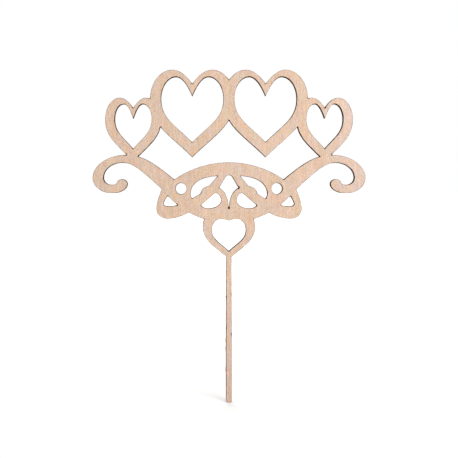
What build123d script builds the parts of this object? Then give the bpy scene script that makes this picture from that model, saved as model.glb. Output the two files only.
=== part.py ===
"""A laser-cut plywood cake topper: a crest of linked hearts on a scrolled bracket, with a looped
knot, a small heart below it, and a stick that is pushed into the cake.

The whole fretwork is cut in one pass from a sheet of three-ply, so every layer of the sheet has
the same outline. X runs across the topper, Y through the sheet from front to back, and Z up from
the stick's end. All sizes are in millimetres.
"""

import os

from build123d import *

# The sheet: two face veneers glued to a cross-grained core
FACE_VENEER = 0.8
CORE_VENEER = 1.2
GLUE_FILM = 0.1

# The stick, from its rounded end to the tip of the small heart
STICK_WIDTH = 2.7
STICK_LENGTH = 66.5
STICK_END_RADIUS = 0.8

# The small heart, which joins the stick to the knot
SMALL_HEART_WIDTH = 24.4
SMALL_HEART_HEIGHT = 23.0
SMALL_CLEFT_DEPTH = 1.3
SMALL_SIDE_STROKE = 4.3
SMALL_TOP_STROKE = 4.2
SMALL_CLEFT_STROKE = 3.7
SMALL_HEART_FOOT = 3.9

# The knot: a lens-shaped body between two ears, which the small heart's lobes run up into
KNOT_OVERLAP = 6.0
BODY_WIDTH = 52.1
BOWL_DROP = 10.1
BODY_SIDE = 9.7
ARCH_RISE = 8.4
EAR_REACH = 7.85
EYELET_RADIUS = 2.6

# The scrolls, one on each side, measured as the box round each arm and its curl
SCROLL_LENGTH = 37.9
SCROLL_HEIGHT = 17.9

# The crest: two large open hearts that share a stroke, and a lower one on each scroll
CREST_GAP = 2.4
CREST_STEP = 13.0
LARGE_HEART_HEIGHT = 40.7
LARGE_CLEFT_DEPTH = 6.5
LARGE_SIDE_STROKE = 5.1
LARGE_TOP_STROKE = 3.2
LARGE_CLEFT_STROKE = 5.8
LARGE_HEART_FOOT = 7.0
SIDE_HEART_WIDTH = 26.0
SIDE_CLEFT_DEPTH = 4.8
SIDE_SIDE_STROKE = 4.4
SIDE_TOP_STROKE = 2.9
SIDE_CLEFT_STROKE = 5.1
SIDE_HEART_FOOT = 6.0

# A heart's outline, in shares of its half width and its height
HEART_WIDEST_SHARE = 0.666
HEART_CROWN_SHARE = 0.47
WINDOW_CROWN_SHARE = 0.52
HEART_FLANK_SHARES = ((0.55, 0.264), (1.0, 0.366))
HEART_INNER_LOBE_SHARE = 0.5

# Handle length of a curve that stands for a quarter of an ellipse
QUARTER_SHARE = 0.5523

# Places on the knot's body, in shares of its half width and the knot's height
EYELET_SHARES = (0.856, 0.567)
LEAF_TIP_SHARES = (0.203, 0.776)
LEAF_ARCH_SHARES = ((0.428, 0.742), (0.587, 0.667), (0.662, 0.582))
LEAF_SIDE_SHARES = (0.686, 0.477)
LEAF_CORNER_SHARES = (0.683, 0.427)
LEAF_HEEL_SHARES = (0.658, 0.405)
LEAF_STEP_SHARES = (0.507, 0.486)
LEAF_BUMP_SHARES = (0.468, 0.559)
LEAF_BEND_SHARES = (0.392, 0.600)
LEAF_THROAT_SHARES = (0.344, 0.615)
SPADE_TOP_SHARES = (0.0, 0.789)
SPADE_CROWN_SHARES = (0.042, 0.789)
SPADE_SHOULDER_SHARES = (0.061, 0.759)
SPADE_CORNER_SHARES = (0.173, 0.582)
SPADE_WAIST_SHARES = (0.010, 0.489)
SPADE_NECK_SHARES = (0.008, 0.330)
SPADE_FOOT_SHARES = (0.0, 0.241)
ALMOND_TIP_SHARES = (0.498, 0.289)
ALMOND_BEND_SHARES = (0.270, 0.475)
ALMOND_TURN_SHARES = (0.215, 0.525)
ALMOND_FLANK_SHARES = (0.142, 0.441)
ALMOND_SIDE_SHARES = (0.142, 0.372)
ALMOND_BOTTOM_SHARES = (0.374, 0.239)
ALMOND_HEEL_SHARES = (0.447, 0.239)
SCROLL_ROOT_SHARES = (0.981, 0.490)

# Places on an ear, in shares of its reach beyond the body and the knot's height
EAR_ROOT_SHARES = (0.471, 0.650)
EAR_SHOULDER_SHARES = (0.739, 0.525)
EAR_FLANK_SHARES = (1.0, 0.362)
EAR_SIDE_SHARES = (1.0, 0.238)
EAR_BOTTOM_SHARES = (0.355, 0.069)
EAR_CURL_SHARES = (-0.343, 0.069)
EAR_CUSP_SHARES = (-0.952, 0.173)
EAR_INSIDE_SHARES = (-0.952, 0.443)
EAR_WINDOW_TOP_SHARES = (0.322, 0.443)
EAR_WINDOW_BULGE_SHARES = (0.484, 0.388)
EAR_WINDOW_SIDE_SHARES = (0.561, 0.316)
EAR_WINDOW_BOTTOM_SHARES = (0.296, 0.275)
EAR_WINDOW_TIP_SHARES = (-0.229, 0.301)

# Places on a scroll, in shares of its length and its height
ARM_TOP_ROOT_SHARES = (-0.062, 0.246)
ARM_TOP_RISE_SHARES = (0.248, 0.810)
ARM_TOP_EASE_SHARES = (0.400, 1.0)
SCROLL_TOP_SHARES = (0.588, 1.0)
SCROLL_OUTER_SHARES = (1.0, 0.393)
SCROLL_BOTTOM_SHARES = (0.760, 0.0)
CURL_SIDE_SHARES = (0.574, 0.242)
CURL_TOP_SHARES = (0.643, 0.365)
CURL_NECK_SHARES = (0.705, 0.255)
CURL_EASE_SHARES = (0.722, 0.219)
HOLLOW_BOTTOM_SHARES = (0.772, 0.219)
HOLLOW_OUTER_SHARES = (0.868, 0.405)
HOLLOW_TOP_SHARES = (0.637, 0.794)
ARM_UNDER_EASE_SHARES = (0.500, 0.794)
ARM_UNDER_RISE_SHARES = (0.400, 0.595)
ARM_UNDER_ROOT_SHARES = (0.061, -0.068)

# The side heart's tip, in shares of the scroll's box
SIDE_TIP_SHARES = (0.503, 0.822)

# Derived places
sheet = 2 * (FACE_VENEER + GLUE_FILM) + CORE_VENEER
body_half = BODY_WIDTH / 2
knot_height = BOWL_DROP + BODY_SIDE + ARCH_RISE
knot_foot = STICK_LENGTH + SMALL_HEART_HEIGHT - KNOT_OVERLAP
bowl_end = knot_foot + BOWL_DROP
arch_end = bowl_end + BODY_SIDE
crest_foot = knot_foot + knot_height + CREST_GAP


def on_knot(shares):
    """The point at these shares of the body's half width and the knot's height."""
    return (shares[0] * body_half, knot_foot + shares[1] * knot_height)


def on_ear(shares):
    """The point at these shares of the right ear's reach and the knot's height."""
    return (body_half + shares[0] * EAR_REACH, knot_foot + shares[1] * knot_height)


def on_scroll(shares):
    """The point at these shares of the right scroll's length and height."""
    root_x, root_z = on_knot(SCROLL_ROOT_SHARES)
    return (root_x + shares[0] * SCROLL_LENGTH, root_z + shares[1] * SCROLL_HEIGHT)


def quarter(start, end, leaves_level):
    """A quarter of an ellipse, which leaves start level and reaches end upright, or the reverse."""
    run = QUARTER_SHARE * (end[0] - start[0])
    rise = QUARTER_SHARE * (end[1] - start[1])
    if leaves_level:
        return Bezier(start, (start[0] + run, start[1]), (end[0], end[1] - rise), end)
    return Bezier(start, (start[0], start[1] + rise), (end[0] - run, end[1]), end)


# Each large heart runs from the stroke it shares on the centre line to the side heart's stroke
side_x, side_foot = on_scroll(SIDE_TIP_SHARES)
side_height = crest_foot + LARGE_HEART_HEIGHT - CREST_STEP - side_foot
large_reach = side_x - SIDE_HEART_WIDTH / 2 + LARGE_SIDE_STROKE
large_width = large_reach + LARGE_SIDE_STROKE / 2
large_x = large_reach - large_width / 2


class Heart(BaseSketchObject):
    """A heart that stands on its tip, with its cleft this far below the crowns of its lobes."""

    def __init__(self, width, height, cleft_depth, crown_share=HEART_CROWN_SHARE, mode=Mode.ADD):
        half = width / 2
        widest = (half, HEART_WIDEST_SHARE * height)
        crown = (crown_share * half, height)
        cleft = (0, height - cleft_depth)
        flank = [(x * half, z * height) for x, z in HEART_FLANK_SHARES]
        inner_lobe = (crown[0] * (1 - HEART_INNER_LOBE_SHARE), height)
        with BuildSketch() as heart:
            with BuildLine():
                Bezier((0, 0), *flank, widest)
                quarter(widest, crown, leaves_level=False)
                Bezier(crown, inner_lobe, cleft)
                mirror(about=Plane.YZ)
            make_face()
        super().__init__(heart.sketch, mode=mode)


# One scroll: an arm that rises out of the knot, turns over and curls back under itself
with BuildSketch() as scroll:
    with BuildLine():
        Bezier(
            on_scroll(ARM_TOP_ROOT_SHARES),
            on_scroll(ARM_TOP_RISE_SHARES),
            on_scroll(ARM_TOP_EASE_SHARES),
            on_scroll(SCROLL_TOP_SHARES),
        )
        quarter(on_scroll(SCROLL_TOP_SHARES), on_scroll(SCROLL_OUTER_SHARES), leaves_level=True)
        quarter(on_scroll(SCROLL_OUTER_SHARES), on_scroll(SCROLL_BOTTOM_SHARES), leaves_level=False)
        quarter(on_scroll(SCROLL_BOTTOM_SHARES), on_scroll(CURL_SIDE_SHARES), leaves_level=True)
        quarter(on_scroll(CURL_SIDE_SHARES), on_scroll(CURL_TOP_SHARES), leaves_level=False)
        quarter(on_scroll(CURL_TOP_SHARES), on_scroll(CURL_NECK_SHARES), leaves_level=True)
        Bezier(
            on_scroll(CURL_NECK_SHARES),
            on_scroll(CURL_EASE_SHARES),
            on_scroll(HOLLOW_BOTTOM_SHARES),
        )
        quarter(on_scroll(HOLLOW_BOTTOM_SHARES), on_scroll(HOLLOW_OUTER_SHARES), leaves_level=True)
        quarter(on_scroll(HOLLOW_OUTER_SHARES), on_scroll(HOLLOW_TOP_SHARES), leaves_level=False)
        Bezier(
            on_scroll(HOLLOW_TOP_SHARES),
            on_scroll(ARM_UNDER_EASE_SHARES),
            on_scroll(ARM_UNDER_RISE_SHARES),
            on_scroll(ARM_UNDER_ROOT_SHARES),
        )
        Line(on_scroll(ARM_UNDER_ROOT_SHARES), on_scroll(ARM_TOP_ROOT_SHARES))
    make_face()

# One ear: the loop of the knot that hangs outside the lens
with BuildSketch() as ear:
    with BuildLine():
        Bezier(
            on_ear(EAR_ROOT_SHARES),
            on_ear(EAR_SHOULDER_SHARES),
            on_ear(EAR_FLANK_SHARES),
            on_ear(EAR_SIDE_SHARES),
        )
        quarter(on_ear(EAR_SIDE_SHARES), on_ear(EAR_BOTTOM_SHARES), leaves_level=False)
        Bezier(on_ear(EAR_BOTTOM_SHARES), on_ear(EAR_CURL_SHARES), on_ear(EAR_CUSP_SHARES))
        Polyline(
            on_ear(EAR_CUSP_SHARES),
            on_ear(EAR_INSIDE_SHARES),
            on_ear(EAR_ROOT_SHARES),
        )
    make_face()

# The windows on the right of the knot, between its ribbons
with BuildSketch() as knot_windows:
    with Locations(on_knot(EYELET_SHARES)):
        Circle(EYELET_RADIUS)
    with BuildLine():
        Spline(
            on_knot(LEAF_TIP_SHARES),
            *[on_knot(shares) for shares in LEAF_ARCH_SHARES],
            on_knot(LEAF_SIDE_SHARES),
        )
        Bezier(on_knot(LEAF_SIDE_SHARES), on_knot(LEAF_CORNER_SHARES), on_knot(LEAF_HEEL_SHARES))
        Line(on_knot(LEAF_HEEL_SHARES), on_knot(LEAF_STEP_SHARES))
        ThreePointArc(
            on_knot(LEAF_STEP_SHARES),
            on_knot(LEAF_BUMP_SHARES),
            on_knot(LEAF_BEND_SHARES),
        )
        Polyline(
            on_knot(LEAF_BEND_SHARES),
            on_knot(LEAF_THROAT_SHARES),
            on_knot(LEAF_TIP_SHARES),
        )
    make_face()
    with BuildLine():
        Line(on_knot(ALMOND_TIP_SHARES), on_knot(ALMOND_BEND_SHARES))
        Bezier(
            on_knot(ALMOND_BEND_SHARES),
            on_knot(ALMOND_TURN_SHARES),
            on_knot(ALMOND_FLANK_SHARES),
            on_knot(ALMOND_SIDE_SHARES),
        )
        quarter(on_knot(ALMOND_SIDE_SHARES), on_knot(ALMOND_BOTTOM_SHARES), leaves_level=False)
        Bezier(
            on_knot(ALMOND_BOTTOM_SHARES),
            on_knot(ALMOND_HEEL_SHARES),
            on_knot(ALMOND_TIP_SHARES),
        )
    make_face()
    with BuildLine():
        Bezier(
            on_ear(EAR_WINDOW_TOP_SHARES),
            on_ear(EAR_WINDOW_BULGE_SHARES),
            on_ear(EAR_WINDOW_SIDE_SHARES),
        )
        quarter(
            on_ear(EAR_WINDOW_SIDE_SHARES),
            on_ear(EAR_WINDOW_BOTTOM_SHARES),
            leaves_level=False,
        )
        quarter(
            on_ear(EAR_WINDOW_BOTTOM_SHARES),
            on_ear(EAR_WINDOW_TIP_SHARES),
            leaves_level=True,
        )
        Line(on_ear(EAR_WINDOW_TIP_SHARES), on_ear(EAR_WINDOW_TOP_SHARES))
    make_face()

# The spade-shaped window in the middle of the knot
with BuildSketch() as spade_window:
    with BuildLine():
        Bezier(
            on_knot(SPADE_TOP_SHARES),
            on_knot(SPADE_CROWN_SHARES),
            on_knot(SPADE_SHOULDER_SHARES),
        )
        Line(on_knot(SPADE_SHOULDER_SHARES), on_knot(SPADE_CORNER_SHARES))
        Bezier(
            on_knot(SPADE_CORNER_SHARES),
            on_knot(SPADE_WAIST_SHARES),
            on_knot(SPADE_NECK_SHARES),
            on_knot(SPADE_FOOT_SHARES),
        )
        mirror(about=Plane.YZ)
    make_face()

# The crest: four hearts in a row, with the strokes joined before the windows are taken out
with BuildSketch() as crest:
    with Locations((large_x, crest_foot), (-large_x, crest_foot)):
        Heart(large_width, LARGE_HEART_HEIGHT, LARGE_CLEFT_DEPTH)
    with Locations((side_x, side_foot), (-side_x, side_foot)):
        Heart(SIDE_HEART_WIDTH, side_height, SIDE_CLEFT_DEPTH)
    with Locations(
        (large_x, crest_foot + LARGE_HEART_FOOT),
        (-large_x, crest_foot + LARGE_HEART_FOOT),
    ):
        Heart(
            large_width - 2 * LARGE_SIDE_STROKE,
            LARGE_HEART_HEIGHT - LARGE_HEART_FOOT - LARGE_TOP_STROKE,
            LARGE_CLEFT_DEPTH + LARGE_CLEFT_STROKE - LARGE_TOP_STROKE,
            crown_share=WINDOW_CROWN_SHARE,
            mode=Mode.SUBTRACT,
        )
    with Locations(
        (side_x, side_foot + SIDE_HEART_FOOT),
        (-side_x, side_foot + SIDE_HEART_FOOT),
    ):
        Heart(
            SIDE_HEART_WIDTH - 2 * SIDE_SIDE_STROKE,
            side_height - SIDE_HEART_FOOT - SIDE_TOP_STROKE,
            SIDE_CLEFT_DEPTH + SIDE_CLEFT_STROKE - SIDE_TOP_STROKE,
            crown_share=WINDOW_CROWN_SHARE,
            mode=Mode.SUBTRACT,
        )

# The whole cut: stick, small heart, knot and scrolls joined, windows taken out, crest set on top
with BuildSketch() as fretwork:
    Rectangle(STICK_WIDTH, STICK_LENGTH + SMALL_HEART_FOOT, align=(Align.CENTER, Align.MIN))
    fillet(fretwork.vertices().group_by(Axis.Y)[0], STICK_END_RADIUS)
    with Locations((0, STICK_LENGTH)):
        Heart(SMALL_HEART_WIDTH, SMALL_HEART_HEIGHT, SMALL_CLEFT_DEPTH)
    with BuildLine():
        ThreePointArc(
            (-body_half, bowl_end),
            (0, knot_foot),
            (body_half, bowl_end),
        )
        Line((body_half, bowl_end), (body_half, arch_end))
        ThreePointArc(
            (body_half, arch_end),
            (0, knot_foot + knot_height),
            (-body_half, arch_end),
        )
        Line((-body_half, arch_end), (-body_half, bowl_end))
    make_face()
    add(ear.sketch)
    add(scroll.sketch)
    add(mirror(ear.sketch, about=Plane.YZ, mode=Mode.PRIVATE))
    add(mirror(scroll.sketch, about=Plane.YZ, mode=Mode.PRIVATE))
    add(knot_windows.sketch, mode=Mode.SUBTRACT)
    add(mirror(knot_windows.sketch, about=Plane.YZ, mode=Mode.PRIVATE), mode=Mode.SUBTRACT)
    add(spade_window.sketch, mode=Mode.SUBTRACT)
    with Locations((0, STICK_LENGTH + SMALL_HEART_FOOT)):
        Heart(
            SMALL_HEART_WIDTH - 2 * SMALL_SIDE_STROKE,
            SMALL_HEART_HEIGHT - SMALL_HEART_FOOT - SMALL_TOP_STROKE,
            SMALL_CLEFT_DEPTH + SMALL_CLEFT_STROKE - SMALL_TOP_STROKE,
            mode=Mode.SUBTRACT,
        )
    add(crest.sketch)

# The layers of the sheet, each a copy of the same cut, stacked from the front face at -Y
layers = []
front_of_layer = sheet / 2
for label, thickness in (
    ("front_veneer", FACE_VENEER),
    ("front_glue_film", GLUE_FILM),
    ("core_veneer", CORE_VENEER),
    ("back_glue_film", GLUE_FILM),
    ("back_veneer", FACE_VENEER),
):
    with BuildPart() as layer:
        with BuildSketch(Plane.XZ.offset(front_of_layer)):
            add(fretwork.sketch)
        extrude(amount=-thickness)
    layer.part.label = label
    layers.append(layer.part)
    front_of_layer -= thickness

os.makedirs("parts", exist_ok=True)
for layer_part in layers:
    export_step(layer_part, f"parts/{layer_part.label}.step")
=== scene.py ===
"""A cake topper, laser-cut in one pass from a thin sheet of basswood plywood, on a white studio floor."""

import math

import bpy
import numpy as np
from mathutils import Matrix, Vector
from mathutils.geometry import delaunay_2d_cdt
from mathutils.kdtree import KDTree


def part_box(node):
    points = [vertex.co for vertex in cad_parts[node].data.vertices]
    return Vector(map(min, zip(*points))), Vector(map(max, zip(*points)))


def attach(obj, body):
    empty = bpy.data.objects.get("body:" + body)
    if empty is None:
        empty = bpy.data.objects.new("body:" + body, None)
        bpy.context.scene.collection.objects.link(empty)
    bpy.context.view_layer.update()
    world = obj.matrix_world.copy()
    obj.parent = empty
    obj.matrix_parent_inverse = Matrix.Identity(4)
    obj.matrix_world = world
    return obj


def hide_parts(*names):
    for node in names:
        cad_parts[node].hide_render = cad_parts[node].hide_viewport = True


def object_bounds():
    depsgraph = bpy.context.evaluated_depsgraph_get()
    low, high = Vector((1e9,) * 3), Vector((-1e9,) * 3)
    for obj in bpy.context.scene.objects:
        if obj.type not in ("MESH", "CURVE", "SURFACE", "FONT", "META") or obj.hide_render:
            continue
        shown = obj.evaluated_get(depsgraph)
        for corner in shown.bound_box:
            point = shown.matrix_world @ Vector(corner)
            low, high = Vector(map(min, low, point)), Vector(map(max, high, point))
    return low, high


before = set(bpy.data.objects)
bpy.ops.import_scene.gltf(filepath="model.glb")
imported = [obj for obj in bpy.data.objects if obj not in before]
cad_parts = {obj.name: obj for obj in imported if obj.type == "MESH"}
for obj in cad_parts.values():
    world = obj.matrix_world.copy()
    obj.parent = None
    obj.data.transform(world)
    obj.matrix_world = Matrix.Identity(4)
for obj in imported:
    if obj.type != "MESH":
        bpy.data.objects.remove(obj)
cad_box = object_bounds()


# Core veneer: the middle ply of the sheet, peeled basswood laid with its grain across the topper so
# that the sheet stays flat. It is glued between the face veneers, and only its charred edge shows.

MM = 0.001
FACE_TOLERANCE = 0.1
SAME_POINT_DECIMALS = 4


def cad_loops(node):
    """The loops round a node's front face, as x + zj in millimetres, with the wood on their left."""
    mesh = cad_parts[node].data
    points = np.array([vertex.co for vertex in mesh.vertices]) / MM
    in_front = points[:, 1] < points[:, 1].min() + FACE_TOLERANCE
    flat = np.round(points[:, 0] + 1j * points[:, 2], SAME_POINT_DECIMALS)
    edges = set()
    for face in mesh.polygons:
        if all(in_front[corner] for corner in face.vertices):
            ring = [flat[corner] for corner in face.vertices]
            edges.update(zip(ring, ring[1:] + ring[:1]))
    rim = [(start, end) for start, end in edges if (end, start) not in edges]
    after = dict(sorted(rim, key=lambda edge: (edge[0].real, edge[0].imag)))
    loops = []
    while after:
        loop = []
        at = next(iter(after))
        while at in after:
            loop.append(at)
            at = after.pop(at)
        loops.append(np.array(loop))
    return loops


# A sharper turn than CORNER_TURN is a corner, and a chord STRAIGHT_RATIO times its neighbour is straight
CORNER_TURN = math.radians(20)
STRAIGHT_RATIO = 2.5
POINT_SPACING = 0.45
# The beam rounds a corner by its own radius, and takes no more than CORNER_TRIM off either side of it
KERF_RADIUS = 0.12
CORNER_TRIM = 0.35
ARC_STEP = math.radians(30)
# A notch starts to burn at the first turn, and is black from the second one on
NOTCH_TURN = math.radians(45)
BLACK_TURN = math.radians(125)


def eased(loop):
    """The loop with its facets bent into curves and its corners rounded, and how much each notch burns."""
    chord = np.roll(loop, -1) - loop
    length = abs(chord)
    way = chord / length
    way_in = np.roll(way, 1)
    length_in = np.roll(length, 1)
    corners = np.flatnonzero(abs(np.angle(way / way_in)) > CORNER_TURN)
    tangent = way_in * length + way * length_in
    tangent = np.where(length_in > STRAIGHT_RATIO * length, way_in, tangent)
    tangent = np.where(length > STRAIGHT_RATIO * length_in, way, tangent)
    tangent /= abs(tangent)
    leaving = tangent.copy()
    arriving = np.roll(tangent, -1)
    for corner in corners:
        before = corner - 1
        leaving[corner] = way[corner] ** 2 / arriving[corner]
        arriving[before] = way[before] ** 2 / leaving[before]
    for corner in corners:
        if (corner + 1) % len(loop) in corners:
            leaving[corner] = arriving[corner] = way[corner]

    def curve(first, count):
        """Points along this many chords from the first one, up to their end, on a cubic over each."""
        places = []
        for at in range(first, first + count):
            at %= len(loop)
            pieces = max(1, math.ceil(length[at] / POINT_SPACING))
            share = np.arange(pieces) / pieces
            places.append(
                (1 + 2 * share) * (1 - share) ** 2 * loop[at]
                + share * (1 - share) ** 2 * length[at] * leaving[at]
                + share**2 * (3 - 2 * share) * (loop[at] + chord[at])
                + share**2 * (share - 1) * length[at] * arriving[at]
            )
        return np.concatenate(places)

    if not len(corners):
        return curve(0, len(loop)), []
    turn = np.angle(leaving[corners] / arriving[corners - 1])
    half_turn = np.tan(abs(turn) / 2)
    radius = np.minimum(KERF_RADIUS, CORNER_TRIM / half_turn)
    trim = radius * half_turn
    smooth = []
    notches = []
    for here, corner in enumerate(corners):
        ahead = (here + 1) % len(corners)
        end = corners[ahead]
        run = np.append(curve(corner, (end - corner - 1) % len(loop) + 1), loop[end])
        along = np.append(0, np.cumsum(abs(np.diff(run))))
        ends = np.array([trim[here], along[-1] - trim[ahead]])
        kept = (along > ends[0]) & (along < ends[1])
        first, last = np.interp(ends, along, run)
        centre = last + 1j * np.sign(turn[ahead]) * radius[ahead] * arriving[end - 1]
        facets = math.ceil(abs(turn[ahead]) / ARC_STEP)
        arc = centre + (last - centre) * np.exp(1j * turn[ahead] * np.arange(1, facets) / facets)
        smooth += [[first], run[kept], [last], arc]
        sharpness = (-turn[ahead] - NOTCH_TURN) / (BLACK_TURN - NOTCH_TURN)
        if sharpness > 0:
            notches.append((arc[len(arc) // 2], min(1, sharpness**2)))
    return np.concatenate(smooth), notches


STICK_HALF_WIDTH = 1.35
STICK_TOP = 66.5
# Where the stick is marked: across it in half widths, up it in millimetres, then the length of a broken
# tab's stub in millimetres, or 0 for a scorch mark alone, and how burnt the place is
STICK_MARKS = (
    (-1, 61.0, 0, 0.3),
    (-1, 56.4, 0, 0.3),
    (1, 50.2, 1.3, 0.2),
    (-1, 48.8, 1.0, 0.6),
    (-1, 34.3, 0, 0.3),
    (0.7, 31.8, 0, 0.9),
    (-1, 28.4, 1.9, 0.4),
    (-1, 24.5, 1.9, 0.3),
    (-1, 14.7, 3.0, 0.3),
)
STUB_HEIGHT = 0.2
STUB_FACETS = 5
RAGGED_SHARE = 0.2
RAGGED_RATE = 9


def with_stubs(loop):
    """The outer loop with the broken stubs of the tabs that held the stick in its sheet."""
    stubs = [(side, height, length) for side, height, length, _ in STICK_MARKS if length]
    roots = np.array([side * STICK_HALF_WIDTH + 1j * height for side, height, _ in stubs])
    lengths = np.array([length for _, _, length in stubs])
    points = []
    for start, end in zip(loop, np.roll(loop, -1)):
        near = (abs((start + end) / 2 - roots) < lengths).any()
        pieces = STUB_FACETS if near else 1
        points += [start + (end - start) * step / pieces for step in range(pieces)]
    points = np.array(points)
    for side, height, length in stubs:
        across = abs(points.real - side * STICK_HALF_WIDTH)
        share = (points.imag - height) / (length / 2)
        on_stub = (across < STUB_HEIGHT) & (abs(share) < 1)
        ragged = 1 - RAGGED_SHARE + RAGGED_SHARE * np.sin(RAGGED_RATE * share + height)
        points = points + np.where(on_stub, side * STUB_HEIGHT * (1 - share**2) * ragged, 0)
    return points


# Windows are cut first, in a cool sheet, and their notches only brown. The outline's sharpest notches
# burn black, and so do the places where the beam first went through, across and up in millimetres
WINDOW_BURN = 0.4
PIERCED_BURN = 1.8
PIERCED_AT = ((-24.3, 92.0), (4.5, 99.9), (0, 90.3))

cut_loops = []
notches = [(complex(*place), PIERCED_BURN) for place in PIERCED_AT]
for loop in cad_loops("front_veneer"):
    smooth, found = eased(loop)
    if np.ptp(smooth.imag) > STICK_TOP:
        smooth = with_stubs(smooth)
        notches += found
    else:
        notches += [(place, WINDOW_BURN) for place, _ in found]
    cut_loops.append(smooth)
cut = np.concatenate(cut_loops)
outward = np.concatenate([-1j * (np.roll(line, -1) - np.roll(line, 1)) for line in cut_loops])
outward /= abs(outward)
starts = np.cumsum([0] + [len(line) for line in cut_loops])
following = np.concatenate(
    [start + np.roll(np.arange(len(line)), -1) for start, line in zip(starts, cut_loops)]
)

# The beam dwells longer at notches and marks. The scorch line is also a little darker along the stick's
# left side, and fainter along its right
BURN_REACH = 0.65
LEFT_SIDE_SCORCH = 0.06
RIGHT_SIDE_SCORCH = -0.12

marks = [(across * STICK_HALF_WIDTH + 1j * height, burnt) for across, height, _, burnt in STICK_MARKS]
burn_places, burn_strengths = (np.array(column) for column in zip(*notches, *marks))
on_stick = (abs(cut.real) < STICK_HALF_WIDTH + STUB_HEIGHT) & (cut.imag < STICK_TOP)
side_scorch = np.where(on_stick, np.where(cut.real < 0, LEFT_SIDE_SCORCH, RIGHT_SIDE_SCORCH), 0)


def burn(points):
    """The beam's dwell at these points, from the notch or mark that burns them most."""
    reach = abs(points[:, None] - burn_places) / BURN_REACH
    return (burn_strengths * np.exp(-(reach**2))).max(axis=1)


# How many points are tested at once, and what the triangulation takes for one point and what it keeps
POINTS_AT_ONCE = 1000
MERGE_DISTANCE = 1e-7
INSIDE_THE_EDGES = 1


def inside(points, edge):
    """Which points lie in the wood, by how often a line to their right crosses the cut."""
    start, end = edge, edge[following]
    answers = []
    with np.errstate(divide="ignore", invalid="ignore"):
        for block in np.array_split(points, len(points) // POINTS_AT_ONCE + 1):
            x, z = block.real[:, None], block.imag[:, None]
            spans = (start.imag <= z) != (end.imag <= z)
            crossing = start.real + (z - start.imag) * (end.real - start.real) / (end.imag - start.imag)
            answers.append((spans & (crossing > x)).sum(axis=1) % 2 == 1)
    return np.concatenate(answers)


def triangles(edge, inner):
    """The wood inside this inset copy of the cut line, as triangles over its points and the inner ones."""
    points = np.append(edge, inner)
    _, _, faces, sources, _, _ = delaunay_2d_cdt(
        [Vector((point.real, point.imag)) for point in points],
        list(enumerate(following.tolist())),
        [],
        INSIDE_THE_EDGES,
        MERGE_DISTANCE,
        True,
    )
    corners = np.array([[sources[vertex][0] for vertex in face] for face in faces])
    return corners[inside(points[corners].mean(axis=1), edge)]


# A face that lies against the next layer needs no points inside its edge
bare_face = {"inner": np.array([], complex), "edge_mm": np.array([]), "dwell": np.array([])}
bare_face["triangles"] = triangles(cut, bare_face["inner"])
sheet_front, sheet_back = cad_box[0].y / MM, cad_box[1].y / MM
sheet_middle = (sheet_front + sheet_back) / 2
KERF_TAPER = 0.06


def ply(name, rows, front=bare_face, back=bare_face, wall_rows=None):
    """A layer of the sheet, closed between its front and back faces by rows of the cut line.

    Each row has its depth through the sheet, its inset from the cut, and how far its normal leans
    forward. The cut widens towards the front, where the beam enters. The strips that start at the rows
    in wall_rows, or else every strip, take the second material, and all other faces the first.
    """
    count = len(cut)
    places, normals, edge_mm, dwell = [], [], [], []
    at_cut = side_scorch + burn(cut)
    for depth, inset, lean in rows:
        taper = KERF_TAPER * (sheet_middle - depth) / (sheet_back - sheet_front)
        line = cut - (inset + taper) * outward
        places.append(np.column_stack([line.real, np.full(count, depth), line.imag]))
        flat = math.cos(lean) * outward
        normals.append(np.column_stack([flat.real, np.full(count, -math.sin(lean)), flat.imag]))
        edge_mm.append(np.full(count, inset))
        dwell.append(at_cut)
    for face, (depth, _, _), facing in ((front, rows[0], -1), (back, rows[-1], 1)):
        inner = face["inner"]
        places.append(np.column_stack([inner.real, np.full(len(inner), depth), inner.imag]))
        normals.append(np.tile((0, facing, 0), (len(inner), 1)))
        edge_mm.append(face["edge_mm"])
        dwell.append(face["dwell"])

    here = np.arange(count)
    strip = np.column_stack([here, here + count, following + count, following])
    strips = range(len(rows) - 1)
    walls = strips if wall_rows is None else wall_rows
    faces, finish = [], []
    for row in strips:
        faces += (strip + row * count).tolist()
        finish += [int(row in walls)] * count

    # A face's triangles count its edge first and then its inner points, which come after every row
    last_row = (len(rows) - 1) * count
    front_inner = np.where(front["triangles"] < count, 0, last_row)
    back_inner = np.where(back["triangles"] < count, last_row, last_row + len(front["inner"]))
    faces += (front["triangles"] + front_inner).tolist()
    faces += (back["triangles"] + back_inner)[:, ::-1].tolist()
    finish += [0] * (len(faces) - len(finish))

    mesh = bpy.data.meshes.new(name)
    mesh.from_pydata((np.concatenate(places) * MM).tolist(), [], faces, shade_flat=False)
    mesh.polygons.foreach_set("material_index", finish)
    for label, values in (("edge_mm", edge_mm), ("dwell", dwell)):
        attribute = mesh.attributes.new(label, "FLOAT", "POINT")
        attribute.data.foreach_set("value", np.concatenate(values).astype(np.float32))
    mesh.normals_split_custom_set_from_vertices(np.concatenate(normals).tolist())
    piece = bpy.data.objects.new(name, mesh)
    bpy.context.scene.collection.objects.link(piece)
    return piece


def layer_depths(node):
    """Where a layer starts and ends through the sheet, in millimetres."""
    low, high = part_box(node)
    return low.y / MM, high.y / MM


def linear(hex_colour):
    """An sRGB hex colour as linear red, green, blue and alpha."""
    levels = [int(hex_colour[at : at + 2], 16) / 255 for at in (1, 3, 5)]
    colour = [level / 12.92 if level <= 0.04045 else ((level + 0.055) / 1.055) ** 2.4 for level in levels]
    return colour + [1]


def add(tree, kind, inputs, **settings):
    """Adds a node with its settings, sets or links each input, and returns its outputs."""
    made = tree.nodes.new("ShaderNode" + kind)
    for name, value in settings.items():
        setattr(made, name, value)
    for name, value in inputs.items():
        if isinstance(value, bpy.types.NodeSocket):
            tree.links.new(value, made.inputs[name])
        else:
            made.inputs[name].default_value = value
    return made.outputs


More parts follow.
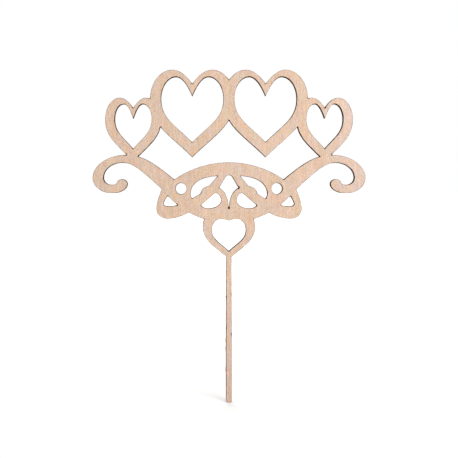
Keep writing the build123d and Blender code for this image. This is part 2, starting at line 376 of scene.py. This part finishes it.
def sized(across, through, along):
    """The mapping scale that gives a pattern these sizes along X, Y and Z, in millimetres."""
    return (1 / (across * MM), 1 / (through * MM), 1 / (along * MM))


def new_material(name):
    """An empty material, with its node tree and its coordinates in the topper's frame."""
    made = bpy.data.materials.new(name)
    made.use_nodes = True
    made.node_tree.nodes.clear()
    return made, made.node_tree, add(made.node_tree, "TexCoord", {})["Object"]


# Pattern sizes across, through and up the sheet. The beam's pulses are about 0.05 mm apart and the wood's
# fibres 0.03 mm wide: both are drawn coarser so that they show
PULSE_SIZES = (0.5, 9, 0.5)
PATCH_SIZES = (9, 9, 9)
CHAR_FIBRE = 0.3
CHAR_FIBRE_LENGTH = 6
CHAR_RELIEF = 0.05


def charred_edge(name, fibre_sizes, soot, brown):
    """Laser-charred basswood: matt near-black brown, striped through the sheet by the beam's pulses,
    with the ply's own fibres showing as paler lines where the char is thin."""
    made, tree, place = new_material(name)
    patterns = []
    for sizes, detail in ((PULSE_SIZES, 2), (fibre_sizes, 2), (PATCH_SIZES, 1)):
        pattern_place = add(tree, "Mapping", {"Vector": place, "Scale": sized(*sizes)})[0]
        patterns += [add(tree, "TexNoise", {"Vector": pattern_place, "Scale": 1, "Detail": detail})[0]]
    stripe, fibre, patch = patterns
    fine = add(tree, "Math", {0: stripe, 1: fibre}, operation="ADD")[0]
    whole = add(tree, "Math", {0: fine, 1: patch}, operation="ADD")[0]
    dwell = add(tree, "Attribute", {}, attribute_name="dwell")["Fac"]
    burnt = add(tree, "Math", {0: whole, 1: dwell}, operation="SUBTRACT")[0]
    pale = add(tree, "MapRange", {"Value": burnt, "From Min": 1.15, "From Max": 1.95})[0]
    tone = add(tree, "Mix", {0: pale, 6: linear(soot), 7: linear(brown)}, data_type="RGBA")[2]
    relief = add(tree, "Bump", {"Height": fine, "Strength": 0.5, "Distance": CHAR_RELIEF * MM})[0]
    surface = add(
        tree,
        "BsdfPrincipled",
        {"Base Color": tone, "Roughness": 0.9, "Specular IOR Level": 0.02, "Normal": relief},
    )[0]
    add(tree, "OutputMaterial", {"Surface": surface})
    return made


CORE_BOW = 0.03

core_front, core_back = layer_depths("core_veneer")
core = ply(
    "crossgrain_core_ply",
    [
        (core_front, 0, 0),
        ((core_front + core_back) / 2, CORE_BOW, 0),
        (core_back, 0, 0),
    ],
)
charred_core = charred_edge(
    "charred_crossgrain_basswood", (CHAR_FIBRE_LENGTH, CHAR_FIBRE, CHAR_FIBRE), "#120B07", "#3A281B"
)
core.data.materials.append(charred_core)
core.data.materials.append(charred_core)
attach(core, "root")
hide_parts("core_veneer")


# Glue films: cured resin between the plies, a tenth of a millimetre thick. The beam burns the resin
# back a little further than the wood, which leaves two black lines sunk into the cut.

FILM_SINK = 0.04
MELT_SIZE = 1.2


def cured_resin():
    """Resin glue, hardened and burnt black at the cut, with a dull gloss where it melted."""
    made, tree, place = new_material("burnt_resin_glue")
    melt_scale = sized(MELT_SIZE, MELT_SIZE, MELT_SIZE)
    melt_place = add(tree, "Mapping", {"Vector": place, "Scale": melt_scale})[0]
    melt = add(tree, "TexNoise", {"Vector": melt_place, "Scale": 1, "Detail": 2})[0]
    tone = add(tree, "Mix", {0: melt, 6: linear("#0E0806"), 7: linear("#2A1A12")}, data_type="RGBA")[2]
    gloss = add(tree, "MapRange", {"Value": melt, "To Min": 0.35, "To Max": 0.65})[0]
    surface = add(tree, "BsdfPrincipled", {"Base Color": tone, "Roughness": gloss})[0]
    add(tree, "OutputMaterial", {"Surface": surface})
    return made


resin = cured_resin()
for side in ("front", "back"):
    film_front, film_back = layer_depths(f"{side}_glue_film")
    film = ply(
        f"{side}_glue_line",
        [(film_front, FILM_SINK, 0), (film_back, FILM_SINK, 0)],
    )
    film.data.materials.append(resin)
    film.data.materials.append(resin)
    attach(film, "root")
    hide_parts(f"{side}_glue_film")


# Face veneers: the two outer plies, sliced basswood with its grain up the topper, sanded smooth and
# left unfinished. The laser browns a fine line along every cut edge and blackens the tight notches.

# The sanded arris, with each of its rows' share of the inset and lean in degrees
ARRIS = 0.06
ARRIS_SHARES = ((1, 90), (0.29, 45), (0, 0))
# The face's mesh: rings in from the cut, where no other cut is nearer, and a grid past the scorch
RING_DEPTHS = (0.22, 0.5, 0.95)
RING_CLEARANCE_SHARE = 0.95
SCORCH_LIMIT = 1.2
GRID_SPACING = 1.7

nearest_cut = KDTree(len(cut))
for index, point in enumerate(cut):
    nearest_cut.insert((point.real, point.imag, 0), index)
nearest_cut.balance()
preceding = np.argsort(following)


def clearance(points):
    """How far each point is from the cut line, and the index of the nearest point on it."""
    at = np.array([nearest_cut.find((point.real, point.imag, 0))[1] for point in points])
    gaps = []
    for start, end in ((cut[preceding[at]], cut[at]), (cut[at], cut[following[at]])):
        chord = end - start
        share = np.clip(((points - start) * np.conj(chord)).real / abs(chord) ** 2, 0, 1)
        gaps.append(abs(points - start - share * chord))
    return np.minimum(*gaps), at


def sanded_face():
    """Points in from the cut edge in rings, then over the open face, with their distance and dwell."""
    rings = []
    for depth in RING_DEPTHS:
        ring = cut - depth * outward
        rings.append(ring[clearance(ring)[0] > RING_CLEARANCE_SHARE * depth])
    low, high = (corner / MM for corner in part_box("front_veneer"))
    columns = np.arange(low.x, high.x, GRID_SPACING)
    rows = np.arange(low.z, high.z, GRID_SPACING)
    stagger = GRID_SPACING / 2 * (np.arange(len(rows)) % 2)
    grid = (columns[None, :] + stagger[:, None] + 1j * rows[:, None]).ravel()
    grid = grid[inside(grid, cut)]
    grid = grid[clearance(grid)[0] > SCORCH_LIMIT]
    inner = np.concatenate(rings + [grid])
    gap, at = clearance(inner)
    return {
        "inner": inner,
        "edge_mm": np.minimum(gap - KERF_TAPER / 2, SCORCH_LIMIT),
        "dwell": side_scorch[at] + burn(inner),
        "triangles": triangles(cut - (ARRIS + KERF_TAPER / 2) * outward, inner),
    }


GRAIN_SLANT = math.radians(2)
GRAIN_WANDER = 3
WANDER_SIZES = (25, 40, 60)
FLECK_FADE = 0.14
SMOKE_SIZE = 2.2
# How far in from the cut the scorch reaches, least and most, and how much further where the beam dwelt
SCORCH_REACH = (0.16, 0.30)
DWELL_REACH = 0.65
FIBRE_RELIEF = 0.03


def basswood(name, scorch_share):
    """Sanded basswood: pale peach, mottled in pink and cream, with short fine fibres that break up the
    light, small dark flecks and a grey streak here and there, and a brown scorch along the cut edge."""
    made, tree, place = new_material(name)

    # The grain runs up the sheet a little aslant, and wanders by about a millimetre
    slant = add(tree, "Mapping", {"Vector": place, "Rotation": (0, GRAIN_SLANT, 0)})[0]
    wander_place = add(tree, "Mapping", {"Vector": place, "Scale": sized(*WANDER_SIZES)})[0]
    wander = add(tree, "TexNoise", {"Vector": wander_place, "Scale": 1, "Detail": 1})["Color"]
    grain = add(
        tree, "VectorMath", {0: wander, 1: (GRAIN_WANDER * MM, 0, 0), 2: slant}, operation="MULTIPLY_ADD"
    )[0]

    # Each pattern's sizes across, through and up the sheet, and how much it changes red, green and blue.
    # Fibres are about 0.03 mm wide: they are drawn at 0.09 mm, and bundled at 0.15 mm, so that they show
    wood = linear("#E2C3AB")[:3]
    for sizes, change in (
        ((9, 40, 45), (0.12, 0.20, 0.30)),  # broad bands, pale and dark
        ((2.6, 40, 24), (0.21, 0.04, -0.26)),  # long streaks, cream and orange
        ((1.7, 4, 2.4), (0.28, -0.05, -0.36)),  # mottle, cream and orange
        ((1.8, 4, 2.3), (0.13, -0.09, 0.21)),  # mottle, straw and pink
        ((0.36, 4, 6), (0.31, 0.49, 0.74)),  # fine streaks, pale and dark
        ((0.15, 4, 0.4), (0.95, 1.42, 2.05)),  # bundles of fibres
        ((0.09, 4, 4), (0.40, 0.60, 0.88)),  # single fibres
    ):
        pattern_place = add(tree, "Mapping", {"Vector": grain, "Scale": sized(*sizes)})[0]
        pattern = add(tree, "TexNoise", {"Vector": pattern_place, "Scale": 1, "Detail": 2})[0]
        level = [1 - amount / 2 for amount in change]
        tint = add(tree, "VectorMath", {0: pattern, 1: change, 2: level}, operation="MULTIPLY_ADD")[0]
        wood = add(tree, "VectorMath", {0: tint, 1: wood}, operation="MULTIPLY")[0]
    fibre = pattern

    # Dark flecks and grey streaks: their sizes, the noise level that they start at, strength and colour
    for sizes, start, strength, colour in (
        ((0.35, 4, 2), 0.66, 0.45, "#B48F74"),
        ((1.1, 4, 14), 0.72, 0.4, "#B0A08A"),
    ):
        mark_place = add(tree, "Mapping", {"Vector": grain, "Scale": sized(*sizes)})[0]
        mark = add(tree, "TexNoise", {"Vector": mark_place, "Scale": 1, "Detail": 1})[0]
        share = add(
            tree,
            "MapRange",
            {"Value": mark, "From Min": start, "From Max": start + FLECK_FADE, "To Max": strength},
        )[0]
        wood = add(tree, "Mix", {0: share, 6: wood, 7: linear(colour)}, data_type="RGBA")[2]

    # The veneer is pinker about the small heart. It darkens down the stick, partly its own browner tone
    # and partly painted shade, and its right edge is paler and cooler, painted light from the softbox on
    # the right: from where to where each goes, in millimetres, and how much it changes red, green and blue
    for axis, start, end, change in (
        ("Z", 92, 78, (0, 0.03, 0.065)),
        # darker and browner down the stick: the wood's own tone and painted shade
        ("Z", 75, 12, (-0.053, -0.10, -0.07)),
        # paler and cooler towards the right edge: painted light
        ("X", 36, 56, (0, 0.034, 0.13)),
    ):
        along = add(tree, "SeparateXYZ", {"Vector": place})[axis]
        share = add(tree, "MapRange", {"Value": along, "From Min": start * MM, "From Max": end * MM})[0]
        tint = add(tree, "VectorMath", {0: share, 1: change, 2: (1, 1, 1)}, operation="MULTIPLY_ADD")[0]
        wood = add(tree, "VectorMath", {0: tint, 1: wood}, operation="MULTIPLY")[0]

    # The scorch: a broken line, wider and darker where the beam dwelt
    edge = add(tree, "Attribute", {}, attribute_name="edge_mm")["Fac"]
    dwell = add(tree, "Attribute", {}, attribute_name="dwell")["Fac"]
    smoke_scale = sized(SMOKE_SIZE, SMOKE_SIZE, SMOKE_SIZE)
    smoke_place = add(tree, "Mapping", {"Vector": place, "Scale": smoke_scale})[0]
    smoke = add(tree, "TexNoise", {"Vector": smoke_place, "Scale": 1, "Detail": 3})[0]
    least, most = SCORCH_REACH
    reach = add(
        tree,
        "MapRange",
        {"Value": smoke, "From Min": 0.3, "From Max": 0.7, "To Min": least, "To Max": most},
    )[0]
    reach = add(tree, "Math", {0: dwell, 1: DWELL_REACH, 2: reach}, operation="MULTIPLY_ADD")[0]
    fade = add(
        tree,
        "MapRange",
        {"Value": edge, "From Min": 0, "From Max": reach, "To Min": 1, "To Max": 0},
        interpolation_type="SMOOTHSTEP",
    )[0]
    heat = add(tree, "Math", {0: smoke, 1: scorch_share, 2: dwell}, operation="MULTIPLY_ADD")[0]
    scorch = add(tree, "Math", {0: fade, 1: heat}, operation="MULTIPLY")[0]
    toast_share = add(tree, "MapRange", {"Value": scorch, "From Min": 0, "From Max": 0.5})[0]
    toasted = add(tree, "Mix", {0: toast_share, 6: wood, 7: linear("#6E4C37")}, data_type="RGBA")[2]
    char_share = add(tree, "MapRange", {"Value": scorch, "From Min": 0.55, "From Max": 0.95})[0]
    burnt = add(tree, "Mix", {0: char_share, 6: toasted, 7: linear("#160D08")}, data_type="RGBA")[2]

    roughness = add(tree, "MapRange", {"Value": fibre, "To Min": 0.55, "To Max": 0.75})[0]
    relief = add(tree, "Bump", {"Height": fibre, "Strength": 0.3, "Distance": FIBRE_RELIEF * MM})[0]
    surface = add(
        tree,
        "BsdfPrincipled",
        {"Base Color": burnt, "Roughness": roughness, "Specular IOR Level": 0.3, "Normal": relief},
    )[0]
    add(tree, "OutputMaterial", {"Surface": surface})
    return made


outer_face = sanded_face()
charred_face = charred_edge(
    "charred_face_basswood", (CHAR_FIBRE, CHAR_FIBRE, CHAR_FIBRE_LENGTH), "#1E130D", "#63493A"
)
# The back browns a little more, where smoke gathers under the sheet
for side, scorch_share in (("front", 1.5), ("back", 1.6)):
    inner_depth, outer_depth = sorted(layer_depths(f"{side}_veneer"), key=abs)
    facing = math.copysign(1, outer_depth)
    rows = [
        (outer_depth - facing * ARRIS * (1 - share), ARRIS * share, -facing * math.radians(lean))
        for share, lean in ARRIS_SHARES
    ]
    rows.append((inner_depth, 0, 0))
    arris_rows = len(ARRIS_SHARES) - 1
    if side == "front":
        veneer = ply("basswood_front_ply", rows, front=outer_face, wall_rows=[arris_rows])
    else:
        veneer = ply("basswood_back_ply", rows[::-1], back=outer_face, wall_rows=[0])
    veneer.data.materials.append(basswood(f"sanded_{side}_basswood", scorch_share))
    veneer.data.materials.append(charred_face)
    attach(veneer, "root")
    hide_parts(f"{side}_veneer")


# Studio floor: a wide sheet of pale matt paper that the stick's end just touches. It turns white for
# the camera away from the topper, and keeps the topper's soft shadow close to it.

FLOOR_HALF = 6.0
SHADOW_NEAR = 0.15
SHADOW_FAR = 0.6
SHADOW_GLOW = 0.3


def seen_white(tree):
    """One for a ray from the camera, or by way of metal or glass, and nought for the rays that light."""
    ray = add(tree, "LightPath", {})
    seen = add(tree, "Math", {0: ray["Is Camera Ray"], 1: ray["Is Glossy Ray"]}, operation="MAXIMUM")[0]
    return add(tree, "Math", {0: seen, 1: ray["Is Transmission Ray"]}, operation="MAXIMUM")[0]


paper, tree, place = new_material("pale_matt_paper")
away = add(tree, "VectorMath", {0: place}, operation="LENGTH")["Value"]
glow = add(
    tree,
    "MapRange",
    {"Value": away, "From Min": SHADOW_NEAR, "From Max": SHADOW_FAR, "To Min": SHADOW_GLOW, "To Max": 1},
    interpolation_type="SMOOTHSTEP",
)[0]
glow = add(tree, "Math", {0: glow, 1: seen_white(tree)}, operation="MULTIPLY")[0]
surface = add(
    tree,
    "BsdfPrincipled",
    {
        "Base Color": linear("#E7E7E6"),
        "Roughness": 0.9,
        "Specular IOR Level": 0.1,
        "Emission Color": linear("#FFFFFF"),
        "Emission Strength": glow,
    },
)[0]
add(tree, "OutputMaterial", {"Surface": surface})
floor_mesh = bpy.data.meshes.new("studio_floor")
corners = [(x * FLOOR_HALF, y * FLOOR_HALF, 0) for x, y in ((-1, -1), (1, -1), (1, 1), (-1, 1))]
floor_mesh.from_pydata(corners, [], [(0, 1, 2, 3)])
floor = bpy.data.objects.new("studio_floor", floor_mesh)
bpy.context.scene.collection.objects.link(floor)
floor.data.materials.append(paper)


# Studio light: a white room, a large softbox in front on the right, and a weaker one straight behind,
# set so that a colour on the topper's face renders about as it is written.

ROOM_LEVEL = 0.37
TOPPER_MIDDLE = Vector((0, 0, 0.09))

world = bpy.data.worlds.new("white_room")
world.use_nodes = True
tree = world.node_tree
tree.nodes.clear()
level = add(tree, "MapRange", {"Value": seen_white(tree), "To Min": ROOM_LEVEL, "To Max": 1})[0]
sky = add(tree, "Background", {"Color": linear("#FFFFFF"), "Strength": level})[0]
add(tree, "OutputWorld", {"Surface": sky})
bpy.context.scene.world = world

for name, place, size, watts in (
    ("front_softbox", (0.35, -0.55, 0.45), 0.45, 3.7),
    ("back_softbox", (-0.05, 0.65, 0.45), 0.45, 3.2),
):
    light = bpy.data.lights.new(name, "AREA")
    light.size = size
    light.energy = watts
    lamp = bpy.data.objects.new(name, light)
    lamp.location = place
    lamp.rotation_mode = "QUATERNION"
    lamp.rotation_quaternion = (TOPPER_MIDDLE - Vector(place)).to_track_quat("-Z", "Y")
    bpy.context.scene.collection.objects.link(lamp)


# Camera: level with the knot and square to the sheet, a little left of its middle, which is why the
# cut edges show dark on the sides that face the knot. The lens is shifted to frame the whole topper.

CAMERA_DISTANCE = 0.365
CAMERA_X = -0.0137
CAMERA_HEIGHT = 0.1031
FRAME_WIDTH = 0.2130
FRAME_CENTRE_HEIGHT = 0.0807

lens = bpy.data.cameras.new("camera")
lens.lens = lens.sensor_width * CAMERA_DISTANCE / FRAME_WIDTH
lens.shift_x = -CAMERA_X / FRAME_WIDTH
lens.shift_y = (FRAME_CENTRE_HEIGHT - CAMERA_HEIGHT) / FRAME_WIDTH
lens.clip_start = 0.01
camera = bpy.data.objects.new("camera", lens)
camera.location = (CAMERA_X, cad_box[0].y - CAMERA_DISTANCE, CAMERA_HEIGHT)
camera.rotation_euler = (math.pi / 2, 0, 0)
bpy.context.scene.collection.objects.link(camera)
bpy.context.scene.camera = camera
bpy.context.scene.view_settings.view_transform = "Standard"

bpy.context.view_layer.update()
